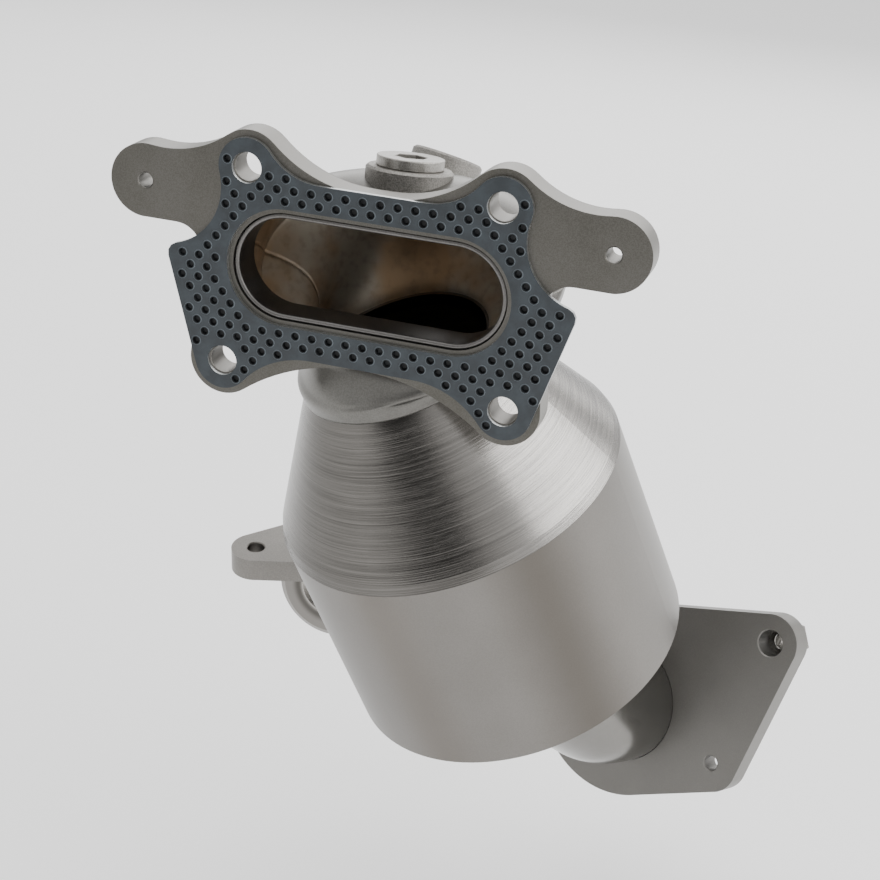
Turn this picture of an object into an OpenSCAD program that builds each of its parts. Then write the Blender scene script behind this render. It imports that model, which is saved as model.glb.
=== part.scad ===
// Catalytic converter with a wide oval-port inlet flange, an angled round can
// and a kinked outlet flange.
// Millimetres. The origin is the centre of the inlet port on the sealing face
// of the inlet gasket. +X runs along the long side of the inlet flange, +Y
// leads away from the engine and +Z is up.

/* [Inlet flange] */
// Thickness of the inlet flange plate
flange_t = 10; // [6:0.5:14]
// Half the distance between the two upper stud holes
top_hole_x = 42.5; // [38:0.5:46]
// Height of the upper stud holes over the port centre
top_hole_z = 31.3; // [29:0.1:34]
// Half the distance between the two lower stud holes
low_hole_x = 48.5; // [45:0.5:52]
// Depth of the lower stud holes under the port centre
low_hole_z = 35; // [33:0.5:38]
// Radius of the four lobes around the stud holes
lobe_r = 12; // [10:0.5:13]
// Diameter of the stud holes
stud_hole_d = 9.4; // [8:0.2:11]
// Half the distance between the two ear holes
ear_x = 78.3; // [74:0.1:84]
// Height of the ear holes over the port centre
ear_z = 21.5; // [20:0.5:23]
// Radius of the ears
ear_r = 12.2; // [10:0.1:13]
// Diameter of the tapped ear holes
ear_hole_d = 5; // [4:0.1:7]
// Half width of the plate between the ears and the lower lobes
waist_x = 57.8; // [56:0.1:60]
// Height of the upper edge in the middle of the plate
top_edge_z = 27.8; // [26:0.1:29]
// Depth of the lower edge in the middle of the plate
low_edge_z = 30.4; // [28:0.1:32]
// Width of the inlet port in the flange
port_w = 93; // [86:1:98]
// Height of the inlet port in the flange
port_h = 36; // [30:0.5:38]

/* [Inlet gasket] */
// Thickness of the inlet gasket
gasket_t = 1.5; // [1:0.1:3]
// Radius of the gasket lobes around the stud holes
gasket_lobe_r = 9.7; // [8.5:0.1:11]
// Reach of the pointed side tips of the gasket from the centre
gasket_tip_x = 69; // [66:0.5:72]

/* [Plenum] */
// Wall of the pressed plenum halves, the sleeve and the cones
sheet_t = 1.8; // [1.2:0.1:2.4]
// Reach of the plenum to the right of the port centre
plenum_right = 59.5; // [56:0.5:62]
// Reach of the plenum to the left of the port centre
plenum_left = 51; // [50:0.5:58]
// Height of the plenum roof over the port centre
roof_z = 24; // [22:0.5:25]

/* [Can] */
// Outer diameter of the converter shell
can_d = 127; // [120:1:132]
// Length of the converter shell
can_l = 82.6; // [76:0.2:90]
// Wall of the converter shell
can_t = 1.5; // [1:0.1:2.5]
// Sideways lean of the can axis
can_lean = 17.8; // [14:0.1:20]
// Forward tilt of the can axis
can_tilt = 20; // [16:0.1:24]
// Height of the inlet cone from the shell seam to its neck
cone_h = 52; // [48:0.5:55]
// Outer diameter of the plenum sleeve at the neck of the inlet cone
neck_d = 72; // [68:0.5:76]
// Length of the can that the ceramic brick leaves free
brick_room = 14.6; // [14:0.1:22]
// Thickness of the support mat around the brick
mat_t = 2.8; // [2:0.1:5]
// Pitch of the brick channels, drawn coarser than the real cells
cell_pitch = 8; // [7:0.5:14]

/* [Sensor bosses] */
// Thread diameter of the sensor bosses
boss_thread_d = 18; // [16:0.5:20]
// Outer diameter of the front sensor boss
boss_d = 29.4; // [26:0.2:32]
// Outer diameter of the rear sensor boss
rear_boss_d = 25; // [23:0.5:27]
// Distance of the front sensor boss behind the gasket face
boss_y = 38; // [34:0.5:41]
// Height of the front sensor boss face over the port centre
boss_z = 29.5; // [28.5:0.1:32]
// Diameter of the plug head
plug_head_d = 22.8; // [21:0.2:25]

/* [Outlet] */
// Thickness of the outlet flange plate
outlet_t = 9; // [6:0.5:12]
// Outer diameter of the outlet pipe
pipe_d = 50.8; // [46:0.2:54]
// Wall of the outlet pipe
pipe_t = 1.6; // [1.2:0.1:2.4]
// Radius of the rounded end of the outlet flange
outlet_r = 40; // [36:0.5:44]
// Radius of the two corners of the outlet flange
outlet_corner_r = 11.6; // [10:0.1:13]
// Diameter of the outlet stud hole
outlet_hole_d = 10.5; // [9:0.1:12]
// Diameter of the small locating hole
locating_hole_d = 6; // [5:0.1:8]
// Direction of the outlet elbow round the can axis
elbow_turn = 75; // [60:1:90]
// Angle of the first bend of the outlet pipe
first_bend_turn = 27.7; // [20:0.1:32]
// Angle of the second bend of the outlet pipe
second_bend_turn = 23.3; // [15:0.1:30]
// Radius of both bends on the pipe axis
bend_r = 40; // [34:1:44]
// Straight length between the bends
elbow_l = 42.5; // [36:0.5:50]
// Outer diameter of the outlet rings
ring_d = 65; // [62:0.5:69]
// Thickness of the steel ring
ring_t = 8.5; // [6:0.5:11]
// Thickness of the donut gasket
donut_t = 13; // [10:0.5:16]

/* [Brackets] */
// Thickness of the side bracket
bracket_t = 9; // [6:0.5:11]
// Radius of the eye of the side bracket
bracket_eye_r = 9.5; // [8:0.5:11]
// Diameter of the hole in the side bracket
bracket_hole_d = 6.6; // [5:0.1:8.5]
// Outer radius of the dished stay pad
pad_r = 22; // [19:0.5:24]
// Diameter of the hole in the stay pad
pad_hole_d = 10.5; // [8.5:0.1:12]

/* [Hidden] */
$fn = 64;
overrun = 1;
fit_gap = 0.15;
// Fillet discs stand this much off the rounds that they run into
hair = 0.03;

// Flange places behind the gasket
flange_y0 = gasket_t;
flange_y1 = gasket_t + flange_t;
top_fillet_r = 46;
ear_fillet_r = 35;
armpit_r = 9;
hole_chamfer = 0.4;

// Frame of the can: its origin is the centre of the seam between cone and shell
seam_at = [17.7, 54.5, -84];
can_r = can_d / 2;
sleeve_r = neck_d / 2;
neck_r = sleeve_r - sheet_t - fit_gap;
collar_h = 4;
skirt_h = 8;

function unit(v) = v / norm(v);
function lerp(a, b, t) = a * (1 - t) + b * t;
function bezier(p, t) = pow(1 - t, 3) * p[0] + 3 * pow(1 - t, 2) * t * p[1]
                      + 3 * (1 - t) * pow(t, 2) * p[2] + pow(t, 3) * p[3];

// Directions of the can and outlet frames
can_up = [-sin(can_lean), -cos(can_lean) * sin(can_tilt), cos(can_lean) * cos(can_tilt)];
can_right = [cos(can_lean), -sin(can_lean) * sin(can_tilt), sin(can_lean) * cos(can_tilt)];
can_back = [0, cos(can_tilt), sin(can_tilt)];

module on_can() {
    translate(seam_at) rotate([can_tilt, 0, 0]) rotate([0, -can_lean, 0]) children();
}

// A plate outline drawn in X and Z, laid from y0 to y1
module plate_between(y0, y1) {
    translate([0, y1, 0]) rotate([90, 0, 0]) linear_extrude(y1 - y0) children();
}

// The stadium of the port, with its own width and height
module stadium(w, h) {
    union() {
        square([w - h, h], center = true);
        for (side = [-1, 1]) translate([side * (w - h) / 2, 0]) circle(d = h);
    }
}

// Centre of the disc of radius r that touches two discs, on the left of the way from a to b
function fillet_centre(a, ra, b, rb, r) =
    let (d = norm(b - a), p = ra + r, q = rb + r,
         along = (p * p - q * q + d * d) / (2 * d),
         across = sqrt(p * p - along * along),
         e = (b - a) / d)
    a + along * e + across * [-e[1], e[0]];

// The two ends of the straight edge that touches two discs on the right of the way from a to b
function belt_edge(a, ra, b, rb) =
    let (e = unit(b - a), s = (ra - rb) / norm(b - a), c = sqrt(1 - s * s),
         n = s * e + c * [e[1], -e[0]])
    [a + ra * n, b + rb * n];

// A plate round discs that are listed counter-clockwise, hanging t deep under z = 0
module belt_plate(discs, t) {
    count = len(discs);
    points = [for (i = [0:count - 1])
                  let (j = (i + 1) % count)
                  each belt_edge(discs[i][0], discs[i][1] - hair, discs[j][0], discs[j][1] - hair)];
    translate([0, 0, -t]) union() {
        linear_extrude(t) polygon(points);
        for (d = discs) translate(d[0]) cylinder(r = d[1], h = t);
    }
}

// Disc radius that touches both lower lobes and reaches the middle of the edge
function valley_r(x, z, r, edge) =
    let (h = z - edge) (x * x + h * h - r * r) / (2 * (r + h));

// Both sides of a list of points that runs down the right side
function both_sides(right) = concat(right, [for (i = [len(right) - 1:-1:0]) [-right[i][0], right[i][1]]]);

// Points of the right half of the flange
flange_top = [top_hole_x, top_hole_z];
flange_low = [low_hole_x, -low_hole_z];
flange_ear = [ear_x, ear_z];
flange_mid_x = top_hole_x - sqrt(pow(top_fillet_r + lobe_r, 2) - pow(top_fillet_r + top_edge_z - top_hole_z, 2));
flange_mid = [flange_mid_x, top_edge_z + top_fillet_r];
flange_shoulder = fillet_centre(flange_top, lobe_r, flange_ear, ear_r, ear_fillet_r);
flange_deep_r = valley_r(low_hole_x, low_hole_z, lobe_r, low_edge_z);
flange_deep = [0, -low_edge_z - flange_deep_r];
under_ear = ear_z - ear_r + hair;
armpit = [waist_x + armpit_r, under_ear - armpit_r];

module flange_web() {
    side = belt_edge(flange_low, lobe_r - hair, [waist_x - lobe_r, armpit[1]], lobe_r);
    polygon(both_sides([[flange_mid_x, top_edge_z], flange_mid, flange_top, flange_shoulder, flange_ear,
                        [ear_x, under_ear], [armpit[0], under_ear], armpit, [waist_x, armpit[1]], side[0],
                        flange_low, [overrun, flange_deep[1]]]));
}

// The same disc on both sides of the middle plane, laid from y0 to y1
module twin_discs(at, r, y0, y1, sides = $fn) {
    for (side = [-1, 1])
        translate([side * at[0], y1, at[1]]) rotate([90, 0, 0]) cylinder(r = r, h = y1 - y0, $fn = sides);
}

module flange_plate(y0, y1) {
    low = y0 - overrun;
    high = y1 + overrun;
    difference() {
        union() {
            plate_between(y0, y1) flange_web();
            twin_discs(flange_top, lobe_r, y0, y1);
            twin_discs(flange_low, lobe_r, y0, y1);
            twin_discs(flange_ear, ear_r, y0, y1);
        }
        translate([0, high, flange_deep[1]]) rotate([90, 0, 0])
            cylinder(r = flange_deep_r - hair, h = high - low, $fn = 240);
        twin_discs(flange_mid, top_fillet_r - hair, low, high, 160);
        twin_discs(flange_shoulder, ear_fillet_r - hair, low, high, 160);
        twin_discs(armpit, armpit_r - hair, low, high);
    }
}

// Countersinks of the front face
module hole_chamfers(y) {
    for (side = [-1, 1])
        for (p = [[top_hole_x, top_hole_z, stud_hole_d], [low_hole_x, -low_hole_z, stud_hole_d],
                  [ear_x, ear_z, ear_hole_d]])
            translate([side * p[0], y, p[1]]) rotate([-90, 0, 0])
                cylinder(r1 = p[2] / 2 + hole_chamfer, r2 = p[2] / 2, h = hole_chamfer);
}

module inlet_flange() {
    color("#6d6b68")
    difference() {
        flange_plate(flange_y0, flange_y1);
        plate_between(flange_y0 - overrun, flange_y1 + overrun) stadium(port_w, port_h);
        twin_discs(flange_top, stud_hole_d / 2, flange_y0 - overrun, flange_y1 + overrun);
        twin_discs(flange_low, stud_hole_d / 2, flange_y0 - overrun, flange_y1 + overrun);
        twin_discs(flange_ear, ear_hole_d / 2, flange_y0 - overrun, flange_y1 + overrun);
        hole_chamfers(flange_y0);
    }
}

// Gasket edge: lobes, pointed side tips and hollowed edges between them
gasket_top_z = 28.9;
gasket_low_z = 29.9;
gasket_tip_r = 3.6;
gasket_tip_z = 0.8;
gasket_port_gap = 1.6;
gasket_top_fillet_r = 22;
gasket_low_fillet_r = 30;
gasket_side_fillet_r = 21;

// Points of the right half of the gasket
gasket_tip = [gasket_tip_x - gasket_tip_r, -gasket_tip_z];
gasket_top_x = top_hole_x - sqrt(pow(gasket_top_fillet_r + gasket_lobe_r, 2)
                                 - pow(gasket_top_fillet_r + gasket_top_z - top_hole_z, 2));
gasket_low_x = low_hole_x - sqrt(pow(gasket_low_fillet_r + gasket_lobe_r, 2)
                                 - pow(gasket_low_fillet_r + gasket_low_z - low_hole_z, 2));
gasket_top_mid = [gasket_top_x, gasket_top_z + gasket_top_fillet_r];
gasket_low_mid = [gasket_low_x, -gasket_low_z - gasket_low_fillet_r];
gasket_shoulder = fillet_centre(flange_top, gasket_lobe_r, gasket_tip, gasket_tip_r, gasket_side_fillet_r);

module gasket_web() {
    edge = belt_edge(flange_low, gasket_lobe_r - hair, gasket_tip, gasket_tip_r - hair);
    polygon(both_sides([[gasket_top_x, gasket_top_z], gasket_top_mid, flange_top, gasket_shoulder, gasket_tip,
                        edge[1], edge[0], flange_low, gasket_low_mid, [gasket_low_x, -gasket_low_z]]));
}

module inlet_gasket() {
    low = -overrun;
    high = gasket_t + overrun;
    hole_r = stud_hole_d / 2 + hole_chamfer;
    color("#3f474d")
    difference() {
        union() {
            plate_between(0, gasket_t) gasket_web();
            twin_discs(flange_top, gasket_lobe_r, 0, gasket_t);
            twin_discs(flange_low, gasket_lobe_r, 0, gasket_t);
            twin_discs(gasket_tip, gasket_tip_r, 0, gasket_t);
        }
        twin_discs(gasket_top_mid, gasket_top_fillet_r - hair, low, high, 120);
        twin_discs(gasket_low_mid, gasket_low_fillet_r - hair, low, high, 120);
        twin_discs(gasket_shoulder, gasket_side_fillet_r - hair, low, high, 120);
        twin_discs(flange_top, hole_r, low, high);
        twin_discs(flange_low, hole_r, low, high);
        plate_between(low, high) stadium(port_w + 2 * gasket_port_gap, port_h + 2 * gasket_port_gap);
    }
}

// The sleeve that lines the port, with its rounded front lip
sleeve_tail = 3;
sleeve_back = 0.3;

module port_sleeve() {
    w = port_w - 2 * fit_gap;
    h = port_h - 2 * fit_gap;
    y0 = flange_y0 + sleeve_back;
    y1 = flange_y1 + sleeve_tail;
    lip = sheet_t / 3;
    color("#8d8a84")
    difference() {
        union() {
            plate_between(y0 + lip, y1) stadium(w, h);
            plate_between(y0, y0 + lip) stadium(w - 2 * lip, h - 2 * lip);
        }
        plate_between(y0 - overrun, y1 + overrun) stadium(w - 2 * sheet_t, h - 2 * sheet_t);
    }
}

// Sections of the plenum: each lies between a front point and a rear point of
// the middle plane, with its own half width
plenum_steps = 16;
arc_steps = 20;
plenum_mouth = sheet_t + 2 * fit_gap;

neck_top = seam_at + (cone_h + collar_h + overrun) * can_up;
neck_low = seam_at + (cone_h + fit_gap) * can_up;
front_start = [0, flange_y1 + fit_gap, -port_h / 2 - plenum_mouth];
rear_start = [0, flange_y1 + fit_gap, port_h / 2 + plenum_mouth];
front_end = neck_top - sleeve_r * can_back;
rear_end = neck_top + sleeve_r * can_back;
front_pull = [0, -1, -8];
front_rise = [0, 1.5, 12];
roof_pull = [0, 24, 8];
back_pull = [0, 15, 10];
roof_point = [0, flange_y1, roof_z];
back_point = [0, rear_end[1], roof_z];
front_route = [front_start, front_start + front_pull, front_end + front_rise, front_end];
rear_route = [rear_start, roof_point + roof_pull, back_point + back_pull, rear_end];

right_fullness = 5;
left_fall = 3;
left_dip = 3.5;

// Reach of a section to one side of the middle plane
function plenum_reach(t, right) =
    let (start = port_w / 2 + plenum_mouth, widest = right ? plenum_right : plenum_left,
         u = 2 * t - 1, more = widest - sleeve_r)
    t < 0.5 ? lerp(start, widest, sin(180 * t))
            : right ? sleeve_r + more * sqrt(max(0, 1 - pow(u, right_fullness)))
                    : sleeve_r + more * pow(1 - u, left_fall) - left_dip * sin(180 * u);

// A point of a section: a stadium at the port that becomes an ellipse and ends as a circle
function section_point(t, angle, inset) =
    let (f = bezier(front_route, t), r = bezier(rear_route, t),
         h = norm(r - f) / 2, right = cos(angle) > 0,
         w = plenum_reach(t, right),
         flat = max(0, (w - h) * cos(180 * t)),
         up = unit(r - f),
         side = unit(lerp([1, 0, 0], can_right, t)),
         sx = unit(side - (side * up) * up),
         x = flat * (abs(cos(angle)) < 0.0001 ? 0 : sign(cos(angle))) + (w - flat - inset) * cos(angle),
         z = (h - inset) * sin(angle))
    (f + r) / 2 + x * sx + z * up;

function neck_point(at, angle, inset) =
    at + (sleeve_r - inset) * (cos(angle) * can_right + sin(angle) * can_back);

function sheet_ring(t, from) = concat(
    [for (i = [0:arc_steps]) section_point(t, from + 180 * i / arc_steps, 0)],
    [for (i = [arc_steps:-1:0]) section_point(t, from + 180 * i / arc_steps, sheet_t)]);

function neck_ring(at, from) = concat(
    [for (i = [0:arc_steps]) neck_point(at, from + 180 * i / arc_steps, 0)],
    [for (i = [arc_steps:-1:0]) neck_point(at, from + 180 * i / arc_steps, sheet_t)]);

// A closed skin over rings of a curved sheet: the first half of each ring is its outer face
module loft(rings) {
    n = len(rings[0]);
    m = len(rings);
    points = [for (ring = rings) each ring];
    sides = [for (k = [0:m - 2]) for (i = [0:n - 1])
                 let (j = (i + 1) % n)
                 each [[k * n + i, k * n + j, (k + 1) * n + j], [k * n + i, (k + 1) * n + j, (k + 1) * n + i]]];
    last = (m - 1) * n;
    caps = [for (i = [0:n / 2 - 2])
                let (p = n - 1 - i, q = n - 2 - i)
                each [[i, q, i + 1], [i, p, q],
                      [last + i, last + i + 1, last + q], [last + i, last + q, last + p]]];
    polyhedron(points, concat(sides, caps), convexity = 8);
}

module plenum_half(from) {
    loft(concat([for (k = [0:plenum_steps]) sheet_ring(k / plenum_steps, from)],
                [neck_ring(neck_low, from)]));
}

// Frames of the sensor bosses: the origin is the centre of the open face
boss_l = 11;
boss_lean = 6.4;
rear_boss_at = [4.2, 68, 27.6];
rear_boss_lean = 20.5;
rear_boss_roll = 9.2;
boss_edge = 0.8;
boss_mouth = 1;
thread_depth = 1.6;
boss_bore_r = (boss_thread_d - thread_depth) / 2;

module on_front_boss() {
    translate([0, boss_y, boss_z]) rotate([-boss_lean, 0, 0]) children();
}

module on_rear_boss() {
    translate(rear_boss_at) rotate([-rear_boss_lean, 0, 0]) rotate([0, rear_boss_roll, 0]) children();
}

// A round column that hangs from z = top down to z = low
module column(r, low, top) {
    translate([0, 0, low]) cylinder(r = r, h = top - low);
}

module sensor_boss(r) {
    difference() {
        union() {
            column(r, -boss_l, -boss_edge);
            translate([0, 0, -boss_edge]) cylinder(r1 = r, r2 = r - boss_edge, h = boss_edge);
        }
        column(boss_bore_r, -boss_l - overrun, overrun);
        translate([0, 0, -boss_mouth]) cylinder(r1 = boss_bore_r, r2 = boss_bore_r + boss_mouth, h = boss_mouth);
    }
}

module plenum_rear_half() {
    color("#a3a09b")
    difference() {
        plenum_half(0);
        on_front_boss() column(boss_d / 2 + fit_gap, -boss_l - boss_d, boss_d);
        on_rear_boss() column(rear_boss_d / 2 + fit_gap, -boss_l - boss_d, boss_d);
    }
}

// The front half is trimmed to sit against the back and the lower edge of the flange
module plenum_front_half() {
    color("#807d79")
    difference() {
        plenum_half(180);
        translate([0, 0, -fit_gap]) flange_plate(flange_y0, flange_y1 + 2 * fit_gap);
    }
}

module front_sensor_boss() {
    color("#a8a5a1") on_front_boss() sensor_boss(boss_d / 2);
}

module rear_sensor_boss() {
    color("#a29f9b") on_rear_boss() sensor_boss(rear_boss_d / 2);
}

// The plug sits with its head on the face of the front boss
plug_head_h = 3.6;
plug_edge = 0.6;
plug_shank_l = 14.5;
socket_flats = 10;
socket_depth = 6;

module sensor_boss_plug() {
    shank_r = boss_bore_r - fit_gap;
    head_r = plug_head_d / 2;
    color("#b5b2ad")
    on_front_boss() difference() {
        union() {
            column(head_r, 0, plug_head_h - plug_edge);
            translate([0, 0, plug_head_h - plug_edge]) cylinder(r1 = head_r, r2 = head_r - plug_edge, h = plug_edge);
            column(shank_r, plug_edge - plug_shank_l, 0);
            translate([0, 0, -plug_shank_l]) cylinder(r1 = shank_r - plug_edge, r2 = shank_r, h = plug_edge);
        }
        translate([0, 0, plug_head_h - socket_depth])
            cylinder(d = socket_flats / cos(30), h = socket_depth + overrun, $fn = 6);
    }
}

// Cone with a neck collar at the top and a joggled skirt inside the shell
shoulder_h = 3.5;
shoulder_in = 1.2;
neck_step = 1;
skirt_r = can_r - can_t - fit_gap;

module inlet_cone() {
    wall = sheet_t;
    color("#8f8c87")
    on_can() rotate_extrude($fn = 128)
        polygon([[neck_r, cone_h + collar_h], [neck_r, cone_h], [sleeve_r - neck_step, cone_h],
                 [can_r - shoulder_in, shoulder_h], [can_r, 0],
                 [skirt_r, 0], [skirt_r, -skirt_h], [skirt_r - wall, -skirt_h],
                 [skirt_r - wall, shoulder_h - shoulder_in],
                 [neck_r - wall, cone_h - wall / 4], [neck_r - wall, cone_h + collar_h]]);
}

rim_edge = 0.7;

module converter_shell() {
    color("#9a9894")
    on_can() rotate_extrude($fn = 128)
        polygon([[can_r, -fit_gap / 2], [can_r, rim_edge - can_l], [can_r - rim_edge, -can_l], [can_r - can_t, -can_l],
                 [can_r - can_t, -fit_gap / 2]]);
}

// The fill of the can, stacked under the skirt of the cone
brick_r = can_r - can_t - mat_t;
brick_top = -5;
brick_l = can_l - brick_room;
stack_top = -skirt_h - 0.3;
stack_low = -can_l + 9.3;
seal_h = 5;

module ring_between(r_in, r_out, low, top) {
    rotate_extrude($fn = 128) polygon([[r_in, low], [r_out, low], [r_out, top], [r_in, top]]);
}

module support_mat() {
    color("#e4ded0") on_can()
        ring_between(brick_r + fit_gap / 2, can_r - can_t - fit_gap / 2,
                     stack_low + seal_h + fit_gap, stack_top - seal_h - fit_gap);
}

module upper_mat_seal() {
    color("#6a6865") on_can()
        ring_between(brick_r + fit_gap / 2, can_r - can_t - fit_gap / 2, stack_top - seal_h, stack_top);
}

module lower_mat_seal() {
    color("#6a6865") on_can()
        ring_between(brick_r + fit_gap / 2, can_r - can_t - fit_gap / 2, stack_low, stack_low + seal_h);
}

cell_wall = 2;

module catalyst_brick() {
    cells = floor(brick_r / cell_pitch);
    reach = brick_r - cell_wall;
    color("#cfc6b2")
    on_can() translate([0, 0, brick_top - brick_l]) linear_extrude(brick_l) difference() {
        circle(brick_r, $fn = 128);
        for (i = [-cells:cells])
            for (j = [-cells:cells])
                if (norm([abs(i) + 0.5, abs(j) + 0.5]) * cell_pitch < reach)
                    translate([i * cell_pitch, j * cell_pitch]) square(cell_pitch - cell_wall, center = true);
    }
}

// Dished end: skirt inside the shell, recessed end wall and a collar round the pipe
end_skirt_h = 8;
end_recess = 1.5;
end_corner = 2;
pipe_inside = 6;
pipe_r = pipe_d / 2;

module outlet_cone() {
    wall = sheet_t;
    collar_r = pipe_r + fit_gap;
    color("#a09d98")
    on_can() translate([0, 0, end_recess - can_l]) rotate_extrude($fn = 128)
        polygon([[skirt_r, end_skirt_h - overrun], [skirt_r, end_corner], [skirt_r - end_corner, 0], [collar_r, 0],
                 [collar_r, pipe_inside - wall], [collar_r + wall, pipe_inside - wall], [collar_r + wall, wall],
                 [skirt_r - wall - end_corner / 2, wall], [skirt_r - wall, wall + end_corner / 2],
                 [skirt_r - wall, end_skirt_h - overrun]]);
}

// Outlet pipe: two bends in one plane, from the can end to the stub behind the flange
lead_in = 0.2;
lead_out = 7.8;
stub_l = 2;
outlet_roll = -101.3;

module on_elbow() {
    on_can() translate([0, 0, -can_l]) rotate([0, 0, elbow_turn]) children();
}

module after_bend(angle) {
    translate([bend_r * (1 - cos(angle)), 0, -bend_r * sin(angle)]) rotate([0, -angle, 0]) children();
}

module on_outlet() {
    on_elbow() translate([0, 0, -lead_in]) after_bend(first_bend_turn) translate([0, 0, -elbow_l])
        after_bend(second_bend_turn) translate([0, 0, -lead_out]) rotate([0, 0, outlet_roll]) children();
}

// A point p of the pipe, laid in turn through both bends and both straights
function bent(angle, p) = [bend_r * (1 - cos(angle)) + p[0] * cos(angle) - p[2] * sin(angle), p[1],
                           p[0] * sin(angle) + p[2] * cos(angle) - bend_r * sin(angle)];
function on_pipe(s, p) = bent(s[0], bent(s[2], p - [0, 0, s[3]]) - [0, 0, s[1]]) - [0, 0, lead_in];
function pipe_ring(s, r) = [for (i = [0:pipe_sides - 1])
                                on_pipe(s, [r * cos(360 * i / pipe_sides), r * sin(360 * i / pipe_sides), 0])];

pipe_sides = 56;
bend_steps = 6;
pipe_stations = concat(
    [[0, -lead_in - pipe_inside, 0, 0]],
    [for (k = [0:bend_steps]) [first_bend_turn * k / bend_steps, 0, 0, 0]],
    [for (k = [0:bend_steps]) [first_bend_turn, elbow_l, second_bend_turn * k / bend_steps, 0]],
    [[first_bend_turn, elbow_l, second_bend_turn, lead_out + outlet_t + ring_t + donut_t + stub_l]]);

// A closed tube over outer and inner rings with equal numbers of points
module tube(outer, inner) {
    n = len(outer[0]);
    m = len(outer);
    far = m * n;
    last = (m - 1) * n;
    faces = [for (i = [0:n - 1])
                 let (j = (i + 1) % n)
                 each concat(
                     [for (k = [0:m - 2])
                          let (p = k * n, q = p + n)
                          each [[p + j, p + i, q + i], [p + j, q + i, q + j],
                                [far + p + i, far + p + j, far + q + i], [far + p + j, far + q + j, far + q + i]]],
                     [[i, j, far + i], [j, far + j, far + i],
                      [last + j, last + i, far + last + i], [last + j, far + last + i, far + last + j]])];
    polyhedron(concat([for (ring = outer) each ring], [for (ring = inner) each ring]), faces, convexity = 8);
}

module outlet_pipe() {
    color("#a5a29d")
    on_elbow() tube([for (s = pipe_stations) pipe_ring(s, pipe_r)], [for (s = pipe_stations) pipe_ring(s, pipe_r - pipe_t)]);
}

outlet_ear = [58.2, 47.1];
outlet_corner = [47.6, -8.5];

module chamfered_hole(d, depth) {
    column(d / 2, -depth - overrun, overrun);
    translate([0, 0, -hole_chamfer]) cylinder(r1 = d / 2, r2 = d / 2 + hole_chamfer, h = hole_chamfer);
}

module outlet_flange() {
    color("#706e6a")
    on_outlet() difference() {
        belt_plate([[[0, 0], outlet_r], [outlet_corner, outlet_corner_r], [outlet_ear, outlet_corner_r]], outlet_t);
        column(pipe_r + fit_gap, -outlet_t - overrun, overrun);
        translate(outlet_ear) chamfered_hole(outlet_hole_d, outlet_t);
        translate(outlet_corner) chamfered_hole(locating_hole_d, outlet_t);
    }
}

nut_flats = 15;
nut_h = 8;
nut_bore_r = 3.4;
nut_mouth = 1.2;

module outlet_weld_nut() {
    color("#8c8983")
    on_outlet() translate([outlet_ear[0], outlet_ear[1], -outlet_t]) difference() {
        translate([0, 0, -nut_h]) cylinder(d = nut_flats / cos(30), h = nut_h, $fn = 6);
        column(nut_bore_r, -nut_h - overrun, overrun);
        translate([0, 0, -nut_mouth]) cylinder(r1 = nut_bore_r, r2 = nut_bore_r + nut_mouth, h = nut_mouth);
    }
}

ring_bevel = 1.5;
donut_taper = 4;
donut_edge = 3;

module outlet_steel_ring() {
    inner = pipe_r + fit_gap;
    color("#a19e99")
    on_outlet() translate([0, 0, -outlet_t]) rotate_extrude()
        polygon([[inner, 0], [ring_d / 2 - ring_bevel, 0], [ring_d / 2, -ring_bevel], [ring_d / 2, -ring_t], [inner, -ring_t]]);
}

module outlet_donut_gasket() {
    inner = pipe_r + fit_gap;
    outer = ring_d / 2;
    color("#3f3e3d")
    on_outlet() translate([0, 0, -outlet_t - ring_t]) rotate_extrude()
        polygon([[inner, 0], [outer, 0], [outer, -donut_edge], [outer - donut_taper, -donut_t], [inner, -donut_t]]);
}

// The eye bracket stands out of the left side of the shell, nearly level
bracket_share = 0.65;
beside_can = seam_at - bracket_share * can_l * can_up;
bracket_eye = beside_can + [-95.713, -0.484, -5.363];
bracket_slope = 8.5;
bracket_root = [33.7, 21.5];
bracket_root_r = 20.2;

module on_bracket() {
    translate(bracket_eye) rotate([bracket_slope, 0, 0]) children();
}

module shell_space() {
    on_can() translate([0, 0, -can_l - can_r]) cylinder(r = can_r, h = can_l + can_r + cone_h, $fn = 128);
}

module side_bracket() {
    color("#a3a09c")
    difference() {
        on_bracket() belt_plate([[[0, 0], bracket_eye_r], [bracket_root, bracket_root_r]], bracket_t);
        on_bracket() chamfered_hole(bracket_hole_d, bracket_t);
        shell_space();
    }
}

// The pad hangs under the bracket: a dished disc with a straight upper part
pad_at = beside_can + [-71.413, 19.516, -26.763];
pad_t = 9;
pad_round = 3;
pad_dish_r = 12;
pad_dish = 4;

module stay_pad() {
    color("#85827e")
    difference() {
        union() {
            translate(pad_at) rotate([90, 0, 0]) {
                translate([0, 0, -pad_t]) cylinder(r = pad_r, h = pad_t - pad_round);
                translate([0, 0, -pad_round]) cylinder(r1 = pad_r, r2 = pad_r - pad_round, h = pad_round);
                translate([-pad_r, 0, -pad_t]) cube([2 * pad_r, 2 * pad_r, pad_t - pad_round]);
            }
        }
        translate(pad_at) rotate([90, 0, 0]) {
            column(pad_hole_d / 2, -pad_t - overrun, overrun);
            translate([0, 0, -pad_dish]) cylinder(r1 = pad_hole_d / 2, r2 = pad_dish_r, h = pad_dish + hole_chamfer);
        }
        on_bracket() translate([-can_d, -can_d, -bracket_t]) cube([2 * can_d, 2 * can_d, can_d]);
        shell_space();
    }
}

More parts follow.
